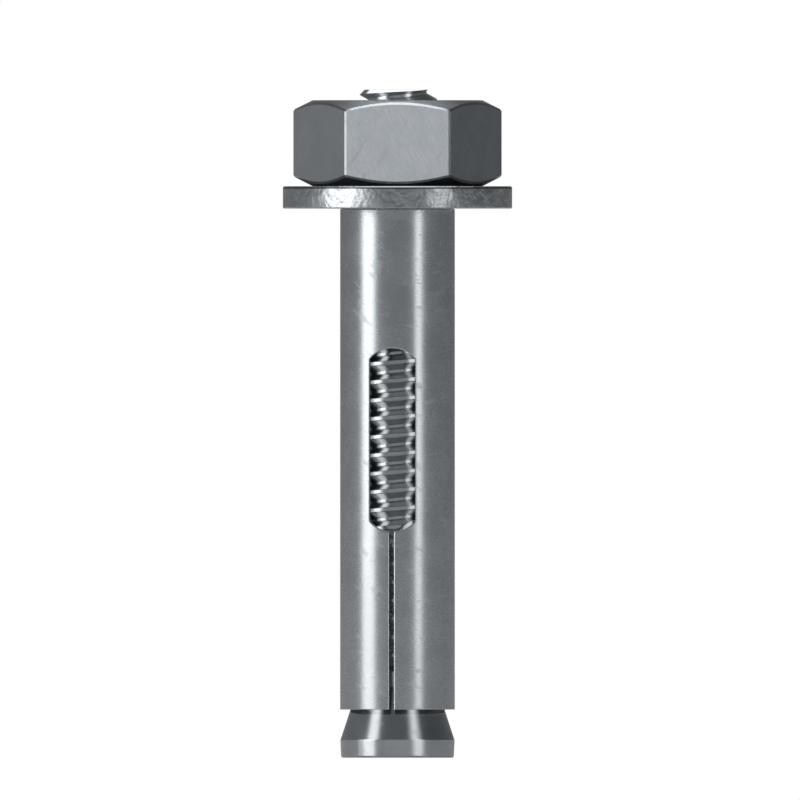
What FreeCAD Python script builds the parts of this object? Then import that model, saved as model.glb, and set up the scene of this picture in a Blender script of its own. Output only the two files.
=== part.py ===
# Sleeve anchor: a threaded stud with an expander cone, a slotted sheet-metal sleeve,
# a flat washer and a hexagon nut. Millimetres. +Z runs along the stud, the origin is the
# centre of the stud's flat foot, and -Y is the front. Angles round the stud are counted
# from the front towards +X.
import FreeCAD
import Part
import math
import os

# Sleeve: sheet rolled round the stud, its two long edges facing each other at the seam.
sleeve_diameter = 12.0
sheet_thickness = 1.05
sleeve_length = 52.4
seam_gap = 0.5
seam_angle = 114.4

# Slots: each is a window with arched ends and a narrow slit from it to the sleeve's mouth.
slot_angles = (-5.6, -125.6)
window_width = 4.8
window_length = 19.2
window_arch_rise = 1.13
window_above_mouth = 18.6
slit_width = 0.55

# Stud: one cold-formed piece, drawn at the size over its thread crests.
stud_diameter = 8.3
stud_end_chamfer = 0.7
stud_above_nut = 1.1
cone_half_angle = 18.4
rim_height = 1.9
rim_taper = 0.07
foot_round = 0.2

# Washer and nut.
washer_diameter = 24.0
washer_thickness = 2.35
washer_edge_round = 0.2
nut_across_flats = 19.0
nut_height = 9.0
nut_chamfer_circle = 17.8
nut_chamfer_angle = 27.0
nut_countersink = 0.45
nut_sides = 6

# Clearances, on the radius, and the small bevel along the sleeve's cut edges.
cone_inside_sleeve = 0.02
mouth_on_cone = 0.01
thread_running = 0.05
washer_on_stud = 0.25
edge_break = 0.1

# Radii and heights that follow from the sizes above.
sleeve_outer = sleeve_diameter / 2
sleeve_inner = sleeve_outer - sheet_thickness
stud_radius = stud_diameter / 2
rim_radius = sleeve_outer - cone_inside_sleeve
cone_slope = math.tan(math.radians(cone_half_angle))
cone_height = (rim_radius - stud_radius) / cone_slope
mouth_z = rim_height + (rim_radius - sleeve_inner + mouth_on_cone) / cone_slope
washer_z = mouth_z + sleeve_length
nut_z = washer_z + washer_thickness
nut_top_z = nut_z + nut_height
stud_top_z = nut_top_z + stud_above_nut
washer_bore = stud_radius + washer_on_stud
nut_bore = stud_radius + thread_running
nut_corner_radius = nut_across_flats / 2 / math.cos(math.pi / nut_sides)

# How far the punch and the saw reach out from the stud's axis, past the sleeve.
cut_reach = 2 * sleeve_outer

centre = FreeCAD.Vector(0, 0, 0)
upward = FreeCAD.Vector(0, 0, 1)
full_turn = 360
touching = 1e-4


# A closed outline of radius and height pairs, turned about the stud's axis.
def turned(outline, start=0, sweep=full_turn):
    points = [FreeCAD.Vector(0, -radius, height) for radius, height in outline]
    section = Part.Face(Part.makePolygon(points + points[:1]))
    section.rotate(centre, upward, start)
    return section.revolve(centre, upward, sweep)


# Circular edges of one radius at one height, for rounding.
def rim_edges(shape, radius, height):
    found = []
    for edge in shape.Edges:
        curve = edge.Curve
        if not isinstance(curve, Part.Circle):
            continue
        if abs(curve.Radius - radius) > touching:
            continue
        if abs(curve.Center.z - height) > touching:
            continue
        found.append(edge)
    return found


# The strip of sheet, rolled almost the whole way round, with the seam's gap left open.
def rolled_sheet():
    gap_angle = math.degrees(seam_gap / sleeve_outer)
    wall = [
        (sleeve_inner, mouth_z),
        (sleeve_outer, mouth_z),
        (sleeve_outer, washer_z),
        (sleeve_inner, washer_z),
    ]
    return turned(wall, seam_angle + gap_angle / 2, full_turn - gap_angle)


# A window's outline, punched straight through the front wall and turned into place.
def window_punch(angle):
    half = window_width / 2
    low = mouth_z + window_above_mouth
    high = low + window_length
    low_left = FreeCAD.Vector(-half, 0, low + window_arch_rise)
    low_right = FreeCAD.Vector(half, 0, low + window_arch_rise)
    high_right = FreeCAD.Vector(half, 0, high - window_arch_rise)
    high_left = FreeCAD.Vector(-half, 0, high - window_arch_rise)
    outline = Part.Wire(
        [
            Part.Arc(low_left, FreeCAD.Vector(0, 0, low), low_right).toShape(),
            Part.makeLine(low_right, high_right),
            Part.Arc(high_right, FreeCAD.Vector(0, 0, high), high_left).toShape(),
            Part.makeLine(high_left, low_left),
        ]
    )
    punch = Part.Face(outline).extrude(FreeCAD.Vector(0, -cut_reach, 0))
    punch.rotate(centre, upward, angle)
    return punch


# The saw that opens the sleeve from its mouth up into the window.
def slit_saw(angle):
    corner = FreeCAD.Vector(-slit_width / 2, -cut_reach, 0)
    height = mouth_z + window_above_mouth + window_arch_rise
    saw = Part.makeBox(slit_width, cut_reach, height, corner)
    saw.rotate(centre, upward, angle)
    return saw


# Edges on the sleeve's outer face: those that reach one of its ends, or else the others.
def outside_edges(shape, reaching_ends):
    found = []
    for edge in shape.Edges:
        middle = edge.valueAt((edge.FirstParameter + edge.LastParameter) / 2)
        points = [vertex.Point for vertex in edge.Vertexes] + [middle]
        radii = [math.hypot(point.x, point.y) for point in points]
        outside = all(abs(radius - sleeve_outer) < touching for radius in radii)
        low = edge.BoundBox.ZMin < mouth_z + touching
        high = edge.BoundBox.ZMax > washer_z - touching
        if outside and (low or high) == reaching_ends:
            found.append(edge)
    return found


# Windows come first and are bevelled, then the slits run into them.
def make_sleeve():
    sleeve = rolled_sheet()
    for angle in slot_angles:
        sleeve = sleeve.cut(window_punch(angle))
    sleeve = sleeve.makeChamfer(edge_break, outside_edges(sleeve, False))
    for angle in slot_angles:
        sleeve = sleeve.cut(slit_saw(angle))
    return sleeve.makeChamfer(edge_break, outside_edges(sleeve, True))


def make_stud():
    foot_radius = rim_radius - rim_taper
    outline = [
        (0, 0),
        (foot_radius, 0),
        (rim_radius, rim_height),
        (stud_radius, rim_height + cone_height),
        (stud_radius, stud_top_z - stud_end_chamfer),
        (stud_radius - stud_end_chamfer, stud_top_z),
        (0, stud_top_z),
    ]
    stud = turned(outline)
    return stud.makeFillet(foot_round, rim_edges(stud, foot_radius, 0))


def make_washer():
    outer = washer_diameter / 2
    outline = [
        (washer_bore, washer_z),
        (outer, washer_z),
        (outer, nut_z),
        (washer_bore, nut_z),
    ]
    washer = turned(outline)
    edges = rim_edges(washer, outer, washer_z) + rim_edges(washer, outer, nut_z)
    return washer.makeFillet(washer_edge_round, edges)


# The hexagon prism with two flats square to the front.
def hexagon_prism():
    points = []
    for corner in range(nut_sides + 1):
        turn = math.radians(corner * full_turn / nut_sides)
        x = nut_corner_radius * math.cos(turn)
        y = nut_corner_radius * math.sin(turn)
        points.append(FreeCAD.Vector(x, y, nut_z))
    face = Part.Face(Part.makePolygon(points))
    return face.extrude(FreeCAD.Vector(0, 0, nut_height))


# What the nut is turned to: coned at both ends, bored, and countersunk at both ends.
def nut_turning():
    flat_radius = nut_chamfer_circle / 2
    drop = (nut_corner_radius - flat_radius) * math.tan(math.radians(nut_chamfer_angle))
    mouth = nut_bore + nut_countersink
    outline = [
        (nut_bore, nut_z + nut_countersink),
        (mouth, nut_z),
        (flat_radius, nut_z),
        (nut_corner_radius, nut_z + drop),
        (nut_corner_radius, nut_top_z - drop),
        (flat_radius, nut_top_z),
        (mouth, nut_top_z),
        (nut_bore, nut_top_z - nut_countersink),
    ]
    return turned(outline)


def make_hex_nut():
    return hexagon_prism().common(nut_turning())


parts = {
    "stud": make_stud,
    "sleeve": make_sleeve,
    "washer": make_washer,
    "hex_nut": make_hex_nut,
}

os.makedirs("parts", exist_ok=True)
for name, make in parts.items():
    made = make()
    solid = made.Solids[0]
    print(name, "solids", len(made.Solids), "valid", solid.isValid(), "volume", round(solid.Volume, 2))
    solid.exportStep(os.path.join("parts", name + ".step"))
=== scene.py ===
import bmesh
import bpy
import math
from mathutils import Matrix, Vector


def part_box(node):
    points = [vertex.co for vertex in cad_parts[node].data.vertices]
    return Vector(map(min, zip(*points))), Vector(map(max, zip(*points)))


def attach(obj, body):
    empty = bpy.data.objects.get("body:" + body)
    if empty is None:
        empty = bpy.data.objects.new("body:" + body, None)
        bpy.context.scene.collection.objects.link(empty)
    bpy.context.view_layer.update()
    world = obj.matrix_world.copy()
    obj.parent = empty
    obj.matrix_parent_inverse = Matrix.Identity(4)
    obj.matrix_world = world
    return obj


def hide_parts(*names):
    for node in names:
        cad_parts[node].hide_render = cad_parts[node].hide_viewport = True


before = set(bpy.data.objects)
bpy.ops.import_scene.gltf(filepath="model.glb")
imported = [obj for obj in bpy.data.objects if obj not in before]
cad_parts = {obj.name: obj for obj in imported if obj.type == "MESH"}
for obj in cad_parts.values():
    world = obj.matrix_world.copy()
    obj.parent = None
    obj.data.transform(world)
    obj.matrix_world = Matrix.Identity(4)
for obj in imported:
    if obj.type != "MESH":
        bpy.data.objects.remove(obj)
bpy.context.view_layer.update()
print("frame loaded:", ", ".join(sorted(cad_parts)))

# Shapes are drawn in millimetres about the stud's axis, and shrunk to metres when they are done.
millimetre = 0.001
middle = Vector((0, 0, 0))
upward = Vector((0, 0, 1))
fullTurn = 2 * math.pi
mergeDistance = 0.0005
roundFacing = 0.999  # cosines: a cylinder's faces look along the radius by at least this much,
flankFacing = 0.8  # and a thread's flanks look up or down by more than this


# Lowest and highest point of a construction node, in millimetres.
def heightsOf(node):
    low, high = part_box(node)
    return low.z / millimetre, high.z / millimetre


# Points of an arc, as radius and height pairs.
def arc(centreRadius, centreHeight, radius, startDegrees, endDegrees, steps):
    points = []
    for step in range(steps + 1):
        turn = math.radians(startDegrees + (endDegrees - startDegrees) * step / steps)
        points.append((centreRadius + radius * math.cos(turn), centreHeight + radius * math.sin(turn)))
    return points


# A line through radius and height pairs, drawn behind the axis and ready to be spun.
def drawLine(bm, points, closed):
    verts = [bm.verts.new((0, radius, height)) for radius, height in points]
    edges = [bm.edges.new(pair) for pair in zip(verts, verts[1:])]
    if closed:
        edges.append(bm.edges.new((verts[-1], verts[0])))
    return verts + edges


def tidyMesh(bm):
    bmesh.ops.remove_doubles(bm, verts=bm.verts, dist=mergeDistance)
    bmesh.ops.recalc_face_normals(bm, faces=bm.faces)


def meshObject(name, bm):
    mesh = bpy.data.meshes.new(name)
    bm.to_mesh(mesh)
    bm.free()
    obj = bpy.data.objects.new(name, mesh)
    bpy.context.scene.collection.objects.link(obj)
    return obj


# Turned on a lathe: closed outlines make rings, open ones start and end on the axis.
def turned(name, points, steps, closed=False):
    bm = bmesh.new()
    line = drawLine(bm, points, closed)
    bmesh.ops.spin(bm, geom=line, cent=middle, axis=upward, angle=fullTurn, steps=steps, use_merge=True)
    tidyMesh(bm)
    return meshObject(name, bm)


# Puts in place of the mesh what the modifiers make of it.
def settle(obj):
    graph = bpy.context.evaluated_depsgraph_get()
    done = bpy.data.meshes.new_from_object(obj.evaluated_get(graph))
    before = obj.data
    obj.modifiers.clear()
    obj.data = done
    bpy.data.meshes.remove(before)


def combine(obj, tool, operation):
    modifier = obj.modifiers.new("combine", "BOOLEAN")
    modifier.operation = operation
    modifier.solver = "EXACT"
    modifier.object = tool
    settle(obj)
    bpy.data.objects.remove(tool)


# Rounded edges shade smoothly and flat faces stay flat.
def shadeEven(obj, sharpDegrees):
    obj.data.shade_smooth()
    obj.data.set_sharp_from_angle(angle=math.radians(sharpDegrees))
    weighted = obj.modifiers.new("even", "WEIGHTED_NORMAL")
    weighted.keep_sharp = True
    settle(obj)


# Faces of a cylinder shade as a true one, whatever was cut into them. A thread's flanks between the
# two heights have their normals drawn towards the radius, by one share where they face down and by
# another where they face up: 0 leaves them as they are, 1 makes them radial, more takes them past it.
def shadeRound(obj, low=0, high=0, drawnDown=0, drawnUp=0):
    mesh = obj.data
    normals = [Vector(corner.vector) for corner in mesh.corner_normals]
    for face in mesh.polygons:
        across = Vector((face.center.x, face.center.y, 0))
        if across.length < mergeDistance:
            continue
        facing = face.normal.dot(across.normalized())
        share = 0
        if abs(facing) > roundFacing:
            share = 1
        elif low < face.center.z < high and abs(face.normal.z) > flankFacing:
            share = drawnUp if face.normal.z > 0 else drawnDown
        for corner in face.loop_indices:
            point = mesh.vertices[mesh.loops[corner].vertex_index].co
            radial = Vector((point.x, point.y, 0)).normalized() * math.copysign(1, facing)
            normals[corner] = normals[corner].lerp(radial, share).normalized()
    mesh.normals_split_custom_set(normals)


# Moves the finished piece to metres and gives it its body, its node, its slot and its steel.
def dress(obj, node, body, material):
    obj.data.transform(Matrix.Scale(millimetre, 4))
    obj.data.materials.clear()
    obj.data.materials.append(material)
    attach(obj, body)
    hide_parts(node)
    print(obj.name, "has", len(obj.data.polygons), "faces")


# One socket of a node tree. Sums on it add Math nodes.
class Wire:
    def __init__(self, socket):
        self.socket = socket
        self.tree = socket.id_data

    # Settings come first, then values or wires for the sockets, by name or number.
    def node(self, kind, settings=None, inputs=None, output=0):
        return addNode(self.tree, kind, settings, inputs, output)

    def maths(self, operation, first, second):
        return self.node("ShaderNodeMath", {"operation": operation}, {0: first, 1: second})

    def __add__(self, other):
        return self.maths("ADD", self, other)

    def __radd__(self, other):
        return self.maths("ADD", other, self)

    def __sub__(self, other):
        return self.maths("SUBTRACT", self, other)

    def __rsub__(self, other):
        return self.maths("SUBTRACT", other, self)

    def __mul__(self, other):
        return self.maths("MULTIPLY", self, other)

    def __rmul__(self, other):
        return self.maths("MULTIPLY", other, self)

    # Eases from one new value to the other while this one goes from low to high.
    def between(self, low, high, newLow=0.0, newHigh=1.0):
        values = {"Value": self, "From Min": low, "From Max": high, "To Min": newLow, "To Max": newHigh}
        return self.node("ShaderNodeMapRange", {"interpolation_type": "SMOOTHSTEP"}, values)

    # 1 between full and fading, easing to 0 outwards of them.
    def within(self, start, full, fading, gone):
        return self.between(start, full) * (1 - self.between(fading, gone))

    # More outputs of the node that this one belongs to.
    def beside(self, *names):
        return [Wire(self.socket.node.outputs[name]) for name in names]


def addNode(tree, kind, settings=None, inputs=None, output=0):
    node = tree.nodes.new(kind)
    for name, value in (settings or {}).items():
        setattr(node, name, value)
    for name, value in (inputs or {}).items():
        if isinstance(value, Wire):
            tree.links.new(value.socket, node.inputs[name])
        else:
            node.inputs[name].default_value = value
    return Wire(node.outputs[output])


# A Mix node set to colours takes them at sockets 6 and 7, and gives the mixed one at output 2.
def mixColours(factor, first, second):
    return factor.node("ShaderNodeMix", {"data_type": "RGBA"}, {0: factor, 6: first, 7: second}, 2)


# What all plated pieces share. Each piece's own look holds sizes of its grain in millimetres,
# heights in thousandths of a millimetre, and how much each noise adds to the roughness.
plating = {
    "noiseRoughness": 0.55,
    "cloudDetail": 2,
    "pebbleDetail": 3,
    "streakDetail": 4,
    "scuffDetail": 5,
    "scuffAcross": 2,  # times the size of the streaks
    "scuffAlong": 3,
    "scuffRange": (0.58, 0.7),
    "tintRange": (0.35, 0.65),
    # The clouds break up the painted shade: below the first it keeps the least share given next, above the
    # second all of it.
    "paintedShadeRange": (0.2, 0.45),
    "paintedShadeLeast": 0.75,
    "heightUnit": 0.001 * millimetre,
}


# Zinc plated steel. paintedShadeAt gives a wire for where shade is painted into the steel's colour, which
# is also rougher there, from wires for radius, height and X in millimetres.
def platedSteel(name, look, paintedShadeAt=None):
    material = bpy.data.materials.new(name)
    material.use_nodes = True
    tree = material.node_tree
    shader = tree.nodes["Principled BSDF"]
    place = addNode(tree, "ShaderNodeTexCoord", output="Object")

    def noise(across, along, detail, turn=(0, 0, 0)):
        scale = (across * millimetre, across * millimetre, along * millimetre)
        values = {"Vector": place, "Rotation": turn, "Scale": scale}
        vector = place.node("ShaderNodeMapping", {"vector_type": "TEXTURE"}, values)
        values = {"Vector": vector, "Scale": 1.0, "Detail": detail, "Roughness": plating["noiseRoughness"]}
        return vector.node("ShaderNodeTexNoise", {}, values)

    pebbles = noise(look["pebble"], look["pebble"], plating["pebbleDetail"])
    streaks = noise(look["streakAcross"], look["streakAlong"], plating["streakDetail"], look["streakTurn"])
    clouds = noise(look["cloud"], look["cloud"], plating["cloudDetail"])
    scuffAcross = look["streakAcross"] * plating["scuffAcross"]
    scuffAlong = look["streakAlong"] * plating["scuffAlong"]
    scuffs = noise(scuffAcross, scuffAlong, plating["scuffDetail"], look["scuffTurn"])
    scuffs = scuffs.between(*plating["scuffRange"])

    rough = look["roughness"] + (clouds - 0.5) * look["cloudRoughness"]
    rough = rough + (streaks - 0.5) * look["streakRoughness"]
    rough = rough + scuffs * look["scuffRoughness"]
    pale = clouds.between(*plating["tintRange"])
    tint = mixColours(pale, (*look["darkColour"], 1), (*look["colour"], 1))
    # Painted shade: where the given wire says, the colour is mixed towards a dark one and the roughness
    # raised.
    if paintedShadeAt:
        flat = place.node("ShaderNodeVectorMath", {"operation": "MULTIPLY"}, {0: place, 1: (1, 1, 0)})
        radius = flat.node("ShaderNodeVectorMath", {"operation": "LENGTH"}, {0: flat}, 1)
        sideways, height = place.node("ShaderNodeSeparateXYZ", {}, {0: place}).beside("X", "Z")
        paintedShade = paintedShadeAt(*[wire * (1 / millimetre) for wire in (radius, height, sideways)])
        paintedShade = paintedShade * clouds.between(*plating["paintedShadeRange"], plating["paintedShadeLeast"])
        rough = rough + paintedShade * look["paintedShadeRoughness"]
        tint = mixColours(paintedShade, tint, (*look["paintedShadeColour"], 1))
    relief = pebbles * look["pebbleHeight"] + streaks * look["streakHeight"] + clouds * look["cloudHeight"]
    values = {"Height": relief, "Strength": 1.0, "Distance": plating["heightUnit"]}
    bump = place.node("ShaderNodeBump", {}, values)
    tree.links.new(tint.socket, shader.inputs["Base Color"])
    tree.links.new(rough.socket, shader.inputs["Roughness"])
    tree.links.new(bump.socket, shader.inputs["Normal"])
    shader.inputs["Metallic"].default_value = 1.0
    return material


# Stud, thread and expander cone.
stud = {
    "radius": 4.15,
    "shyOfRadius": 0.005,  # the crests stay this far inside the shank
    "rootRadius": 3.05,
    "pitch": 1.9155,
    "crestFlat": 0.42,
    "rootFlat": 0.28,
    "crestEdge": 0.06,
    "crestAtLeft": 40.912,
    "threadSteps": 96,
    "roundSteps": 192,
    "sharpDegrees": 18,
    "drawnDown": 1.4,
    "drawnUp": 0.55,
    "shankTop": 8.98,
    "runOut": 0.5,
    "overlap": 0.5,  # how far the trimmer stands off the thread, and the shank reaches into its core
    "endRadius": 3.45,
    "endShade": (0.03, 0.01),  # painted shade starts and is full this far below the end
    "rimRadius": 5.98,
    "rimTaper": 0.07,
    "rimHeight": 1.9,
    "footRound": 0.2,
    "footSteps": 8,
    "rimEdge": 0.08,  # the rim's bevel: how far it goes down, up and inwards
    "rimEdgeUp": 0.024,
    "rimEdgeInwards": 0.028,
    "coneTop": 7.4,
    "look": {
        "colour": (0.51, 0.535, 0.555),
        "darkColour": (0.47, 0.495, 0.515),
        # colour of the shade painted on the end face
        "paintedShadeColour": (0.24, 0.252, 0.262),
        "paintedShadeRoughness": 0.3,
        "roughness": 0.18,
        "cloud": 2.0,
        "cloudRoughness": 0.05,
        "cloudHeight": 6.0,
        "pebble": 0.35,
        "pebbleHeight": 1.5,
        "streakAcross": 1.2,
        "streakAlong": 0.15,
        "streakTurn": (0, 0, 0),
        "streakHeight": 0.8,
        "streakRoughness": 0.06,
        "scuffTurn": (0.3, 0.2, 0),
        "scuffRoughness": 0.08,
    },
}


# The thread's outline, swept once round while it climbs one pitch, so that each turn meets the next.
# The nut's tap is the same thread, grown by the gap between them.
def threadedRod(name, grow, low, high):
    pitch = stud["pitch"]
    crest = stud["radius"] - stud["shyOfRadius"] + grow
    root = stud["rootRadius"] + grow
    edge = stud["crestEdge"]
    halfCrest = (stud["crestFlat"] + grow) / 2
    halfRoot = (stud["rootFlat"] - grow) / 2
    crestBehind = stud["crestAtLeft"] - pitch / 4  # a quarter turn earlier on a right-handed thread
    first = math.floor((low - crestBehind) / pitch) - 1
    last = math.ceil((high - crestBehind) / pitch) + 1
    points = []
    for count in range(first, last):
        height = crestBehind + count * pitch
        points.append((root, height - pitch / 2 + halfRoot))
        points.append((crest - edge, height - halfCrest - edge / 2))
        points.append((crest, height - halfCrest + edge / 2))
        points.append((crest, height + halfCrest - edge / 2))
        points.append((crest - edge, height + halfCrest + edge / 2))
        points.append((root, height + pitch / 2 - halfRoot))
    bm = bmesh.new()
    line = drawLine(bm, points, False)
    steps = stud["threadSteps"]
    climb = Vector((0, 0, pitch / steps))
    bmesh.ops.spin(
        bm, geom=line, cent=middle, axis=upward, dvec=climb, angle=fullTurn, steps=steps, use_merge=False
    )
    bmesh.ops.remove_doubles(bm, verts=bm.verts, dist=mergeDistance)

    # Both open ends are closed to a point on the axis.
    halfway = (low + high) / 2
    rims = [edge for edge in bm.edges if edge.is_boundary]
    for isTop in (False, True):
        rim = [edge for edge in rims if (edge.verts[0].co.z > halfway) == isTop]
        made = bmesh.ops.extrude_edge_only(bm, edges=rim)["geom"]
        inner = [item for item in made if isinstance(item, bmesh.types.BMVert)]
        height = sum(vert.co.z for vert in inner) / len(inner)
        bmesh.ops.pointmerge(bm, verts=inner, merge_co=(0, 0, height))
    tidyMesh(bm)
    return meshObject(name, bm)


def makeStud():
    low, high = heightsOf("stud")
    shankTop = stud["shankTop"]
    runOutTop = shankTop + stud["runOut"]
    rod = threadedRod("threadedStud", 0, shankTop, high)

    # The end is chamfered at 45 degrees.
    wide = stud["radius"] + stud["overlap"]
    trim = [
        (0, shankTop - stud["overlap"]),
        (wide, shankTop - stud["overlap"]),
        (wide, high - (wide - stud["endRadius"])),
        (stud["endRadius"], high),
        (0, high),
    ]
    combine(rod, turned("trim", trim, stud["roundSteps"]), "INTERSECT")

    rim = stud["rimRadius"]
    rounding = stud["footRound"]
    foot = [(0, low)]
    foot += arc(rim - stud["rimTaper"] - rounding, low + rounding, rounding, -90, 0, stud["footSteps"])
    foot += [
        (rim, stud["rimHeight"] - stud["rimEdge"]),
        (rim - stud["rimEdgeInwards"], stud["rimHeight"] + stud["rimEdgeUp"]),
        (stud["radius"], stud["coneTop"]),
        (stud["radius"], shankTop),
        (stud["rootRadius"] - stud["overlap"], runOutTop),
        (0, runOutTop),
    ]
    combine(rod, turned("foot", foot, stud["roundSteps"]), "UNION")
    shadeEven(rod, stud["sharpDegrees"])
    shadeRound(rod, runOutTop, high, stud["drawnDown"], stud["drawnUp"])

    # The end face is painted dark, as shade that tones down the overhead lamp's reflection on it, and is
    # rougher there.
    def paintedShadeAtEnd(radius, height, sideways):
        return height.between(*[high - below for below in stud["endShade"]])

    dress(rod, "stud", "stud", platedSteel("studSteel", stud["look"], paintedShadeAtEnd))
    return rod


studObject = makeStud()


# Rolled sleeve: a tube cut by two key-hole slots and by the open seam.
sleeve = {
    "outerRadius": 6.0,
    "innerRadius": 4.95,
    "steps": 288,
    "sharpDegrees": 32,
    "edge": 0.14,  # rounding at the washer's end
    "mouthEdge": 0.06,
    "edgeSteps": 4,
    "seamAngle": 114.4,
    "seamGap": 0.5,
    "cutterPast": 2.0,  # how far all cutters reach past the wall and its ends
    "slotAngles": (-5.6, -125.6),
    "slotRoll": 0.35,  # radius of the punched edge, and the slopes between which it turns
    "slotRollDegrees": (16, 36),
    "slotRollSteps": 4,
    "slotRollPast": 0.01,
    "slitWidth": 0.55,
    "slitAside": -0.05,
    "slitBend": 0.4,  # how far below the window the slit's sides turn into its arch
    "lipLift": 0.46,  # how far the lower lip slopes up inwards on the right, and how deep that goes
    "lipDepth": 0.38,
    "lipSkew": 0.7,
    "lipUnshaded": (-0.1, 0.0, 1.1, 1.3),  # heights above the window's foot where the lips are spared the painted shade, and where it comes back
    "lipSide": (3.0, 4.0),  # the spared lips fade out between these X
    "cutShade": (0.2, 0.12),  # cut sides are painted near black as shade below the first depth, and keep the steel's colour above the second
    "windowWidth": 4.8,
    "windowLength": 19.2,
    "windowArchRise": 1.13,
    "windowAboveMouth": 18.6,
    "archSteps": 14,
    "look": {
        "colour": (0.51, 0.535, 0.555),
        "darkColour": (0.47, 0.495, 0.515),
        # colour of the shade painted on cut sides and the bore
        "paintedShadeColour": (0.035, 0.037, 0.04),
        "paintedShadeRoughness": 0.2,
        "roughness": 0.27,
        "cloud": 4.0,
        "cloudRoughness": 0.06,
        "cloudHeight": 10.0,
        "pebble": 0.6,
        "pebbleHeight": 2.0,
        "streakAcross": 1.0,
        "streakAlong": 0.2,
        "streakTurn": (0.0, 0.4, 0.0),
        "streakHeight": 0.8,
        "streakRoughness": 0.05,
        "scuffTurn": (0.5, 0.3, 0),
        "scuffRoughness": 0.1,
    },
}


# X and height pairs round the window and down its slit, all grown outwards alike. The lift raises
# the lower lip on the right.
def keyHole(low, grow, lift=0):
    half = sleeve["windowWidth"] / 2
    rise = sleeve["windowArchRise"]
    archRadius = (half * half + rise * rise) / (2 * rise)
    windowLow = low + sleeve["windowAboveMouth"]
    windowHigh = windowLow + sleeve["windowLength"]
    lowCentre = windowLow + archRadius
    highCentre = windowHigh - archRadius
    radius = archRadius + grow
    slitHalf = sleeve["slitWidth"] / 2 + grow
    slitLeft = sleeve["slitAside"] - slitHalf
    slitRight = sleeve["slitAside"] + slitHalf
    slitLow = low - sleeve["cutterPast"]
    slitHigh = windowLow - sleeve["slitBend"]
    widest = math.degrees(math.asin((half + grow) / radius))
    narrowest = math.degrees(math.asin(slitHalf / radius))
    steps = sleeve["archSteps"]
    outline = [(slitLeft, slitLow), (slitLeft, slitHigh)]
    outline += arc(0, lowCentre, radius, -90 - narrowest, -90 - widest, steps)
    outline += arc(0, highCentre, radius, 90 + widest, 90 - widest, steps * 2)
    lip = arc(0, lowCentre, radius, -90 + widest, -90 + narrowest, steps)
    for step, (x, height) in enumerate(lip):
        outline.append((x, height + lift * math.sin(math.pi * (step / steps) ** sleeve["lipSkew"])))
    outline += [(slitRight, slitHigh), (slitRight, slitLow)]
    return outline


# A closed line in front of the axis, as far from it as depthAt says for each X.
def ringOfVerts(bm, outline, depthAt):
    verts = [bm.verts.new((x, -depthAt(x), height)) for x, height in outline]
    edges = [bm.edges.new((verts[count - 1], verts[count])) for count in range(len(verts))]
    return verts, edges


# The cutter's sides run in from an edge that the punch has rolled over. Its rings go outwards: two
# along the straight sides, several over the rolled edge, one just clear of the wall and one beyond.
def slotCutter(low, angle):
    outer = sleeve["outerRadius"]
    inside = sleeve["innerRadius"] - sleeve["cutterPast"]
    beyond = outer + sleeve["cutterPast"]
    roll = sleeve["slotRoll"]
    lipLift = sleeve["lipLift"]
    least, most = [math.radians(degrees) for degrees in sleeve["slotRollDegrees"]]
    bm = bmesh.new()

    def atRadius(grow, lift, radius):
        return ringOfVerts(bm, keyHole(low, grow, lift), lambda x: math.sqrt(radius * radius - x * x))

    rings = [ringOfVerts(bm, keyHole(low, 0, lipLift), lambda x: inside)]
    rings.append(atRadius(0, lipLift, outer - sleeve["lipDepth"]))
    for step in range(sleeve["slotRollSteps"] + 1):
        turn = most + (least - most) * step / sleeve["slotRollSteps"]
        grow = roll * (math.sin(most) - math.sin(turn))
        rings.append(atRadius(grow, 0, outer - roll * (math.cos(least) - math.cos(turn))))
    grow += sleeve["slotRollPast"]
    rings.append(atRadius(grow, 0, outer + sleeve["slotRollPast"] / 3))
    rings.append(ringOfVerts(bm, keyHole(low, grow), lambda x: beyond))
    bm.faces.new(rings[0][0])
    for here, there in zip(rings, rings[1:]):
        bmesh.ops.bridge_loops(bm, edges=here[1] + there[1])
    bm.faces.new(rings[-1][0])
    bmesh.ops.recalc_face_normals(bm, faces=bm.faces)
    turn = Matrix.Rotation(math.radians(angle), 3, "Z")
    bmesh.ops.rotate(bm, verts=bm.verts, cent=middle, matrix=turn)
    return meshObject("slotCutter", bm)


def seamCutter(low, high):
    bm = bmesh.new()
    bmesh.ops.create_cube(bm, size=1)
    past = 2 * sleeve["cutterPast"]
    size = (sleeve["seamGap"], past, high - low + past)
    place = (0, -sleeve["outerRadius"], (low + high) / 2)
    bmesh.ops.scale(bm, verts=bm.verts, vec=size)
    bmesh.ops.translate(bm, verts=bm.verts, vec=place)
    turn = Matrix.Rotation(math.radians(sleeve["seamAngle"]), 3, "Z")
    bmesh.ops.rotate(bm, verts=bm.verts, cent=middle, matrix=turn)
    return meshObject("seamCutter", bm)


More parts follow.
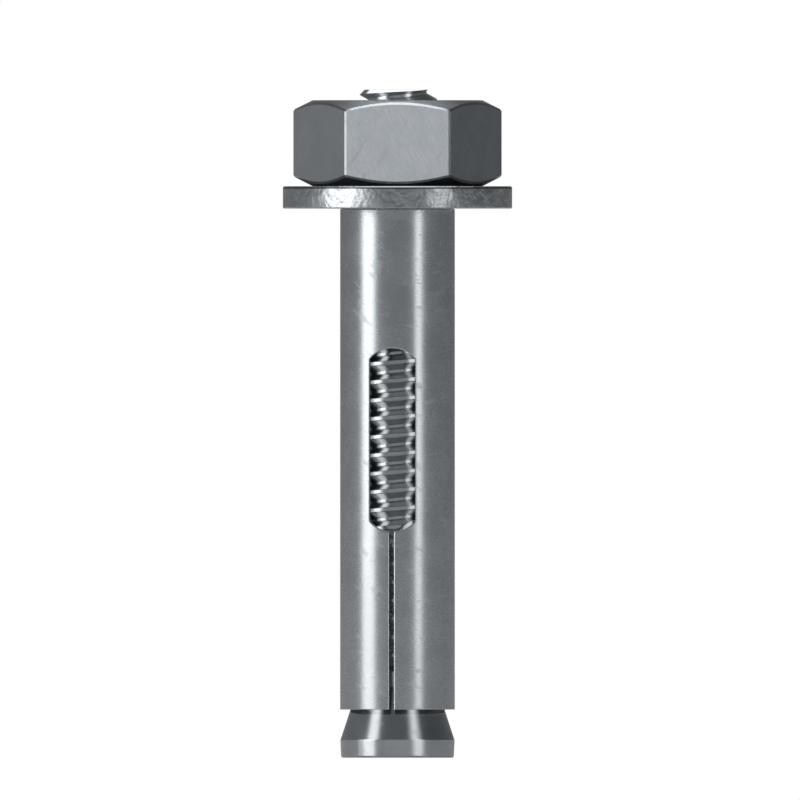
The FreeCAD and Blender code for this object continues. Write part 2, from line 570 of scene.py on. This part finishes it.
def makeSleeve():
    low, high = heightsOf("sleeve")
    outer = sleeve["outerRadius"]
    inner = sleeve["innerRadius"]
    edge = sleeve["edge"]
    mouthEdge = sleeve["mouthEdge"]
    steps = sleeve["edgeSteps"]
    wall = [(inner, low)]
    wall += arc(outer - mouthEdge, low + mouthEdge, mouthEdge, -90, 0, steps)
    wall += arc(outer - edge, high - edge, edge, 0, 90, steps)
    wall.append((inner, high))
    tube = turned("rolledSleeve", wall, sleeve["steps"], closed=True)
    for angle in sleeve["slotAngles"]:
        combine(tube, slotCutter(low, angle), "DIFFERENCE")
    combine(tube, seamCutter(low, high), "DIFFERENCE")
    shadeEven(tube, sleeve["sharpDegrees"])
    shadeRound(tube)

    # Cut sides and the bore are painted near black as shade, but for the lower lips of the windows, which
    # keep the steel's colour. The seam is further to the right than they are, so it stays painted dark.
    def paintedShadeOnCuts(radius, height, sideways):
        windowLow = low + sleeve["windowAboveMouth"]
        atLip = height.within(*[windowLow + above for above in sleeve["lipUnshaded"]])
        atLip = atLip * (1 - sideways.between(*sleeve["lipSide"]))
        return (1 - radius.between(*[outer - depth for depth in sleeve["cutShade"]])) * (1 - atLip)

    dress(tube, "sleeve", "sleeve", platedSteel("sleeveSteel", sleeve["look"], paintedShadeOnCuts))
    return tube


sleeveObject = makeSleeve()


# Flat washer with softened edges.
washer = {
    "outerRadius": 11.995,
    "boreRadius": 4.4,
    "edge": 0.15,
    "edgeSteps": 4,
    "boreEdgeSteps": 3,
    "topEdge": ((0.0, 0.15), (0.015, 0.12), (0.135, 0.0)),  # upper outer edge, inwards and down
    "shadeLine": (0.29, 0.25, 0.13, 0.1),  # a line of painted shade runs round below that edge, this far down
    "shadeLineDepth": (0.2, 0.1),
    "steps": 240,
    "sharpDegrees": 35,
    "look": {
        "colour": (0.44, 0.461, 0.479),
        "darkColour": (0.37, 0.388, 0.405),
        # colour of the painted shade line below the upper edge
        "paintedShadeColour": (0.06, 0.065, 0.07),
        "paintedShadeRoughness": 0.1,
        "roughness": 0.3,
        "cloud": 1.4,
        "cloudRoughness": 0.1,
        "cloudHeight": 110.0,
        "pebble": 0.45,
        "pebbleHeight": 30.0,
        "streakAcross": 0.4,
        "streakAlong": 1.3,
        "streakTurn": (0.0, 0.6, 0.0),
        "streakHeight": 14.0,
        "streakRoughness": 0.1,
        "scuffTurn": (0.5, 0.3, 0),
        "scuffRoughness": 0.1,
    },
}


def makeWasher():
    low, high = heightsOf("washer")
    outer = washer["outerRadius"]
    bore = washer["boreRadius"]
    edge = washer["edge"]
    section = arc(outer - edge, low + edge, edge, -90, 0, washer["edgeSteps"])
    section += [(outer - inwards, high - down) for inwards, down in washer["topEdge"]]
    section += arc(bore + edge, high - edge, edge, 90, 180, washer["boreEdgeSteps"])
    section += arc(bore + edge, low + edge, edge, 180, 270, washer["boreEdgeSteps"])
    ring = turned("flatWasher", section, washer["steps"], closed=True)
    shadeEven(ring, washer["sharpDegrees"])

    # Painted shade: a dark line round the rim just below its upper edge.
    def paintedShadeLine(radius, height, sideways):
        line = height.within(*[high - down for down in washer["shadeLine"]])
        return line * radius.between(*[outer - depth for depth in washer["shadeLineDepth"]])

    dress(ring, "washer", "sleeve", platedSteel("washerSteel", washer["look"], paintedShadeLine))
    return ring


washerObject = makeWasher()


# Hexagon nut.
nut = {
    "sides": 6,
    "acrossFlats": 19.0,
    "chamferCircle": 17.8,
    "chamferDegrees": 27.0,
    "cornerCut": 0.077,  # taken off the upright corners
    "edgeCut": 0.24,  # bevel between the flats and the cones, measured down the flat
    "rimRound": 0.1,
    "threadGap": 0.06,
    "tapPast": 2.0,
    "minorRadius": 3.13,
    "countersinkRadius": 4.65,
    "countersinkSlope": 0.577,
    "stepsPerFlat": 24,
    "sharpDegrees": 27,
    "look": {
        "colour": (0.31, 0.328, 0.345),
        "darkColour": (0.29, 0.308, 0.325),
        "roughness": 0.3,
        "cloud": 3.0,
        "cloudRoughness": 0.05,
        "cloudHeight": 10.0,
        "pebble": 0.3,
        "pebbleHeight": 5.0,
        "streakAcross": 0.2,
        "streakAlong": 1.3,
        "streakTurn": (0.0, -0.4, 0.0),
        "streakHeight": 16.0,
        "streakRoughness": 0.1,
        "scuffTurn": (0.0, 0.6, 0.2),
        "scuffRoughness": 0.08,
    },
}


# Radius and height pairs from the bore's lower end outwards, up a flat, and back to the upper end.
# The flat stands off the axis by reach. Between end face and cone, the rim's middle point lies a
# quarter of the way down.
def nutProfile(low, high, reach):
    steep = nut["chamferDegrees"]
    slope = math.tan(math.radians(steep))
    rim = nut["rimRound"]
    chamfer = nut["chamferCircle"] / 2
    sink = (nut["countersinkRadius"] - nut["minorRadius"]) * nut["countersinkSlope"]
    inwards = nut["edgeCut"] * math.tan(math.radians((90 - steep) / 2))
    bevelTop = high - (reach - inwards - chamfer) * slope
    upper = [
        (reach, bevelTop - nut["edgeCut"]),
        (reach - inwards, bevelTop),
        (chamfer + rim, high - rim * slope),
        (chamfer, high - rim * slope / 4),
        (chamfer - rim, high),
        (nut["countersinkRadius"], high),
        (nut["minorRadius"], high - sink),
    ]
    lower = [(radius, low + high - height) for radius, height in reversed(upper)]
    return lower + upper


def makeNut():
    low, high = heightsOf("hex_nut")
    flat = nut["acrossFlats"] / 2
    halfTurn = math.pi / nut["sides"]
    halfSide = flat * math.tan(halfTurn) - nut["cornerCut"] / math.sin(halfTurn)

    # Turns and reaches round the hexagon. The last of a flat and the first of the next one leave the
    # cut corner between them.
    rays = []
    for side in range(nut["sides"]):
        facing = side * 2 * halfTurn
        for step in range(nut["stepsPerFlat"] + 1):
            aside = math.atan(halfSide * (2 * step / nut["stepsPerFlat"] - 1) / flat)
            rays.append((facing + aside, flat / math.cos(aside)))
    profiles = [nutProfile(low, high, reach) for turn, reach in rays]
    bm = bmesh.new()
    rings = []
    for count in range(len(profiles[0])):
        verts = []
        for (turn, reach), profile in zip(rays, profiles):
            radius, height = profile[count]
            verts.append(bm.verts.new((radius * math.sin(turn), -radius * math.cos(turn), height)))
        rings.append([bm.edges.new((verts[place - 1], verts[place])) for place in range(len(verts))])
    for here, there in zip(rings, rings[1:] + rings[:1]):
        bmesh.ops.bridge_loops(bm, edges=here + there)
    tidyMesh(bm)
    block = meshObject("hexagonNut", bm)

    tap = threadedRod("tap", nut["threadGap"], low - nut["tapPast"], high + nut["tapPast"])
    combine(block, tap, "DIFFERENCE")
    shadeEven(block, nut["sharpDegrees"])
    dress(block, "hex_nut", "nut", platedSteel("nutSteel", nut["look"]))
    return block


nutObject = makeNut()


# Floor, light and camera.
studio = {
    "floorColour": (0.85, 0.85, 0.85),
    "floorRoughness": 0.9,
    "floorSize": 1.5,
    "backdropEdge": (0.985, 0.995),  # cosines to straight behind the anchor
    "roomTint": (0.97, 1.0, 1.02),
    "roomLevel": 0.138,
    "roomLean": -0.055,  # lighter at the left, darker at the right
    "horizonLevel": 0.05,
    "horizonHeights": (0.05, 0.5),  # the horizon's level is full below the first, gone from the second
    # Upright soft boxes: degrees round from the camera, lower edge, width and height in metres,
    # brightness of the box's face, and the pieces it lights.
    "boxes": (
        {"angle": -61, "bottom": 0.01, "width": 0.5, "height": 0.34, "level": 3.2, "lights": "notStud"},
        {"angle": -61, "bottom": 0.35, "width": 0.5, "height": 0.9, "level": 1.1, "lights": "notStud"},
        {"angle": 43, "bottom": 0.01, "width": 0.22, "height": 0.34, "level": 2.8, "lights": "notStud"},
        {"angle": 43, "bottom": 0.35, "width": 0.22, "height": 0.9, "level": 0.85, "lights": "notStud"},
        {"angle": -61, "bottom": 0.0, "width": 0.42, "height": 0.35, "level": 1.8, "lights": "onlyStud"},
        {"angle": -65, "bottom": 0.0, "width": 0.75, "height": 0.35, "level": 0.9, "lights": "onlyStud"},
        {"angle": -57, "bottom": 0.35, "width": 0.36, "height": 0.9, "level": 0.9, "lights": "onlyStud"},
        {"angle": -57, "bottom": 0.35, "width": 0.52, "height": 0.9, "level": 0.6, "lights": "onlyStud"},
        {"angle": 43, "bottom": 0.0, "width": 0.3, "height": 0.35, "level": 1.2, "lights": "onlyStud"},
        {"angle": 43, "bottom": 0.0, "width": 0.5, "height": 0.35, "level": 0.6, "lights": "onlyStud"},
        {"angle": 41, "bottom": 0.35, "width": 0.26, "height": 0.9, "level": 0.75, "lights": "onlyStud"},
        {"angle": 41, "bottom": 0.35, "width": 0.5, "height": 0.9, "level": 0.4, "lights": "onlyStud"},
        {"angle": -52, "bottom": 0.0, "width": 0.75, "height": 0.35, "level": 1.8, "lights": "onlyWasher"},
        {"angle": 0, "bottom": 0.0, "width": 1.0, "height": 0.25, "level": 0.1, "lights": "onlyStud"},
        {"angle": 0, "bottom": 0.3, "width": 1.0, "height": 0.28, "level": 0.09, "lights": "onlyStud"},
        {"angle": 0, "bottom": 1.0, "width": 1.0, "height": 0.9, "level": 0.09, "lights": "onlyStud"},
        {"angle": 0, "bottom": 0.0, "width": 0.6, "height": 0.5, "level": 1.6, "lights": "onlyNut"},
        {"angle": -61, "bottom": 0.0, "width": 0.5, "height": 0.6, "level": 3.0, "lights": "onlyNut"},
        {"angle": -120, "bottom": 0.0, "width": 0.4, "height": 0.3, "level": 0.24, "lights": "onlyNut"},
    ),
    "boxDistance": 1.0,
    # Lamps overhead: place and size in metres, brightness, and the pieces they light.
    "overhead": (
        {"place": (0, 0.16, 1.3), "size": (1.3, 1.3), "level": 1.7, "lights": "notStud"},
        {"place": (0, 0.35, 1.1), "size": (1.6, 1.4), "level": 2.0, "lights": "onlyStud"},
        {"place": (0, -0.6, 1.24), "size": (0.8, 0.6), "level": 3.2, "lights": "onlyNut"},
    ),
    "overheadTarget": (0, 0, 0.06),
    "cameraDistance": 0.5,
    "pixelsPerMm": 9.56,
    "imagePixels": 800,
    "axisColumn": 397.5,
    "floorRow": 757.65,
}


# An area lamp shows a surface brightness, so its power follows from its size.
def areaLamp(name, place, target, size, level):
    data = bpy.data.lights.new(name, "AREA")
    data.shape = "RECTANGLE"
    data.size, data.size_y = size
    data.energy = level * size[0] * size[1] * math.pi
    lamp = bpy.data.objects.new(name, data)
    lamp.location = place
    lamp.rotation_euler = (target - place).to_track_quat("-Z", "Y").to_euler()
    lamp.visible_camera = False
    bpy.context.scene.collection.objects.link(lamp)
    return lamp


# A list of pieces that a lamp lights, or that stand in its way, or that it passes by.
def lampList(name, pieces, state):
    listed = bpy.data.collections.new(name)
    for piece in pieces:
        listed.objects.link(piece)
    for member in listed.collection_objects:
        member.light_linking.link_state = state
    return listed


def makeLamps():
    lists = {
        "notStud": lampList("notStud", [studObject], "EXCLUDE"),
        "onlyStud": lampList("onlyStud", [studObject], "INCLUDE"),
        "onlyWasher": lampList("onlyWasher", [washerObject], "INCLUDE"),
        "onlyNut": lampList("onlyNut", [nutObject], "INCLUDE"),
    }
    pastOthers = lampList("pastOthers", [sleeveObject, washerObject, nutObject], "EXCLUDE")
    for count, box in enumerate(studio["boxes"]):
        turn = math.radians(box["angle"])
        height = box["bottom"] + box["height"] / 2
        place = Vector((math.sin(turn), -math.cos(turn), 0)) * studio["boxDistance"] + upward * height
        size = (box["width"], box["height"])
        lamp = areaLamp("box" + str(count), place, upward * height, size, box["level"])
        lamp.light_linking.receiver_collection = lists[box["lights"]]
        # These reach the stud through the window as if the other pieces weren't there.
        if box["lights"] == "onlyStud":
            lamp.light_linking.blocker_collection = pastOthers
    target = Vector(studio["overheadTarget"])
    for count, above in enumerate(studio["overhead"]):
        place = Vector(above["place"])
        lamp = areaLamp("overhead" + str(count), place, target, above["size"], above["level"])
        lamp.light_linking.receiver_collection = lists[above["lights"]]


def makeFloor():
    bm = bmesh.new()
    bmesh.ops.create_grid(bm, x_segments=1, y_segments=1, size=studio["floorSize"])
    floor = meshObject("floor", bm)
    material = bpy.data.materials.new("paleFloor")
    material.use_nodes = True
    shader = material.node_tree.nodes["Principled BSDF"]
    shader.inputs["Base Color"].default_value = (*studio["floorColour"], 1)
    shader.inputs["Roughness"].default_value = studio["floorRoughness"]
    shader.inputs["Specular IOR Level"].default_value = 0.0
    floor.data.materials.append(material)


def makeWorld():
    world = bpy.data.worlds.new("studio")
    bpy.context.scene.world = world
    world.use_nodes = True
    tree = world.node_tree
    direction = addNode(tree, "ShaderNodeTexCoord", output="Generated")
    split = direction.node("ShaderNodeSeparateXYZ", {}, {0: direction})
    sideways, depth, height = split.beside("X", "Y", "Z")
    path = addNode(tree, "ShaderNodeLightPath")
    rays = ("Is Camera Ray", "Is Glossy Ray", "Is Transmission Ray")
    isCamera, isGlossy, isTransmission = path.beside(*rays)

    # The camera sees white everywhere. In reflections there is a white backdrop behind the anchor, and
    # the rest of the room is grey.
    backdrop = depth.between(*studio["backdropEdge"])
    white = isCamera + (isGlossy + isTransmission) * backdrop * (1 - isCamera)
    room = studio["roomLevel"] + sideways * studio["roomLean"]
    room = room + height.between(*studio["horizonHeights"], studio["horizonLevel"], 0.0)
    background = tree.nodes["Background"]
    shade = mixColours(white, (*studio["roomTint"], 1), (1, 1, 1, 1))
    tree.links.new(shade.socket, background.inputs["Color"])
    tree.links.new((white + (1 - white) * room).socket, background.inputs["Strength"])


def makeCamera():
    perMetre = studio["pixelsPerMm"] / millimetre
    centre = studio["imagePixels"] / 2
    data = bpy.data.cameras.new("camera")
    data.type = "ORTHO"
    data.ortho_scale = studio["imagePixels"] / perMetre
    camera = bpy.data.objects.new("camera", data)
    across = (centre - studio["axisColumn"]) / perMetre
    up = (studio["floorRow"] - centre) / perMetre
    camera.location = (across, -studio["cameraDistance"], up)
    camera.rotation_euler = (math.radians(90), 0, 0)
    bpy.context.scene.collection.objects.link(camera)
    bpy.context.scene.camera = camera


makeFloor()
makeWorld()
makeCamera()
makeLamps()
bpy.context.scene.view_settings.view_transform = "Standard"
print("studio is ready")
